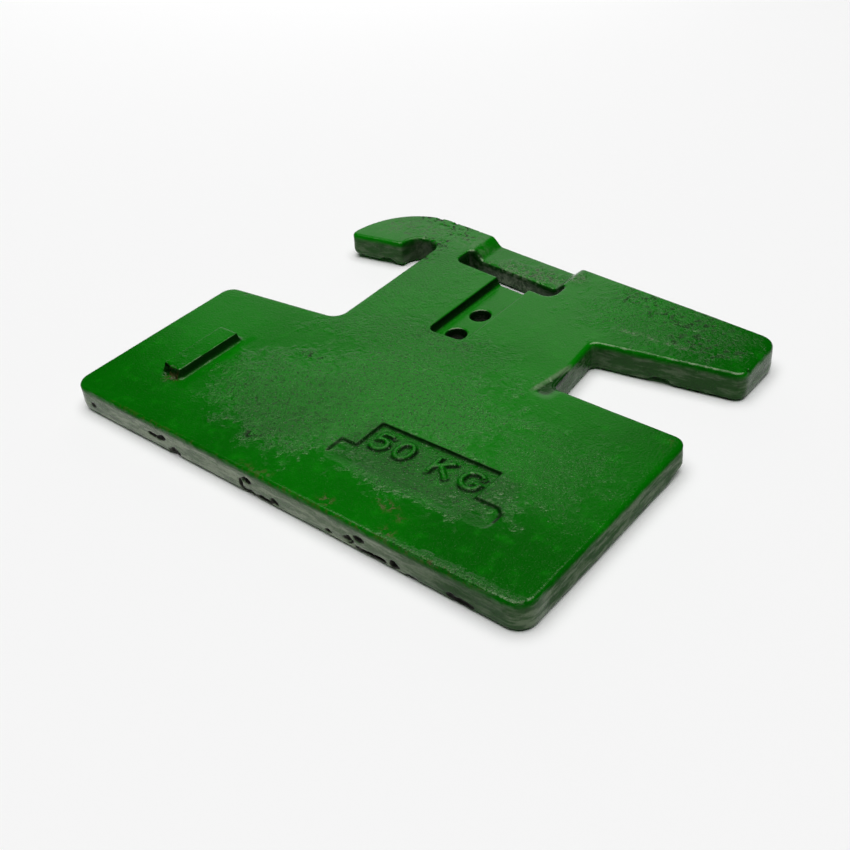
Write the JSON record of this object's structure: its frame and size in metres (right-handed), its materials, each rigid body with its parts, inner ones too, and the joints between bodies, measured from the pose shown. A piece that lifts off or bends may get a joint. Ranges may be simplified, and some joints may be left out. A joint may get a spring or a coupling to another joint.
{
  "type": "tractor suitcase weight",
  "caption": "Flat cast ballast weight for a tractor front carrier, with a hanging hook, a throat and arm, a handle bar over a finger slot, a bolt pocket, a locating lug and a sunk panel.",
  "frame": {"origin": "middle of the outline, on the plain face the weight lies on", "axes": "+X along the long straight foot edge, from the hook's side to the arm's side; +Y from the foot towards the handle; +Z out of the face with the lug, pocket and panel"},
  "size_m": [0.59, 0.5071, 0.0415],
  "materials": {
    "casting": "cast iron under thick glossy green enamel, worn along the long edge"
  },
  "bodies": {
    "root": {"weight_casting": "casting"}
  },
  "joints": []
}
